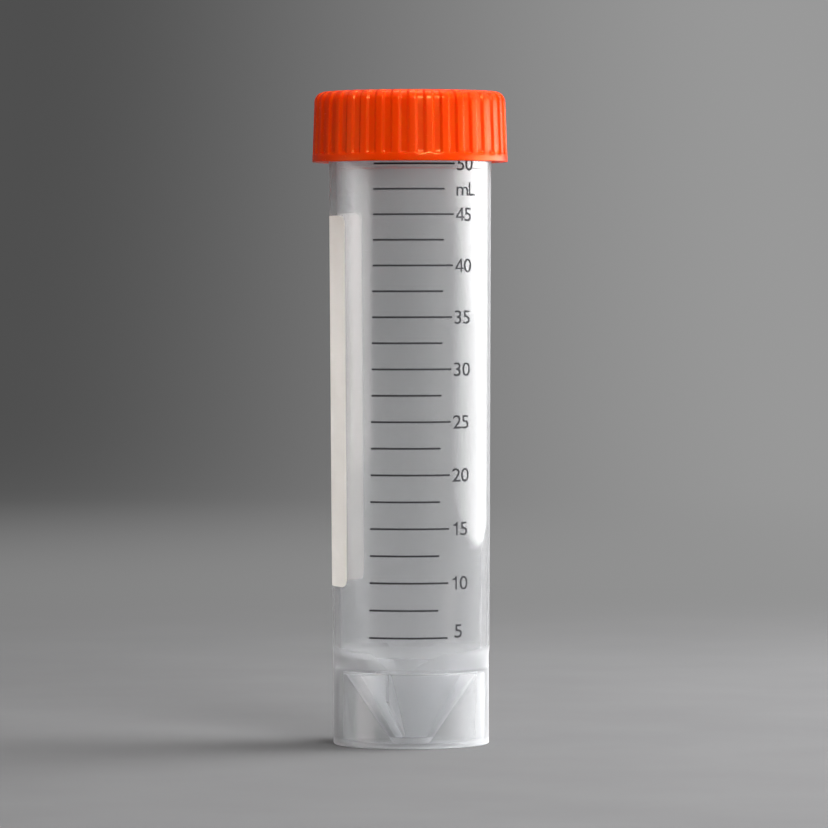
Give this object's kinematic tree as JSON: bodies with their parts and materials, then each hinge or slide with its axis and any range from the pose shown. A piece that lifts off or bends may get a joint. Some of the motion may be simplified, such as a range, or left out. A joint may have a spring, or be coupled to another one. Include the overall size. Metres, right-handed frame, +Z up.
{
  "type": "conical centrifuge tube",
  "caption": "Self-standing conical tube of translucent plastic with a fluted screw cap, a printed volume scale and a white writing patch.",
  "frame": {"origin": "centre of the ring that the skirt stands on", "axes": "+Z up the tube's axis towards the cap; -Y towards the printed scale, so the writing patch is on the -X side"},
  "size_m": [0.0352, 0.0352, 0.1174],
  "materials": {
    "natural_polypropylene": "natural, translucent, satin gloss",
    "orange_polyethylene": "opaque, satin gloss",
    "scale_ink": "black print, matt",
    "patch_ink": "white print, matt"
  },
  "bodies": {
    "tube": {"tube": "natural_polypropylene"},
    "cap": {"cap": "orange_polyethylene"}
  },
  "joints": [
    {"name": "cap_lift", "type": "slide", "parent": "tube", "child": "cap", "axis": [0, 0, 1], "range_m": [0, 0.02]}
  ]
}
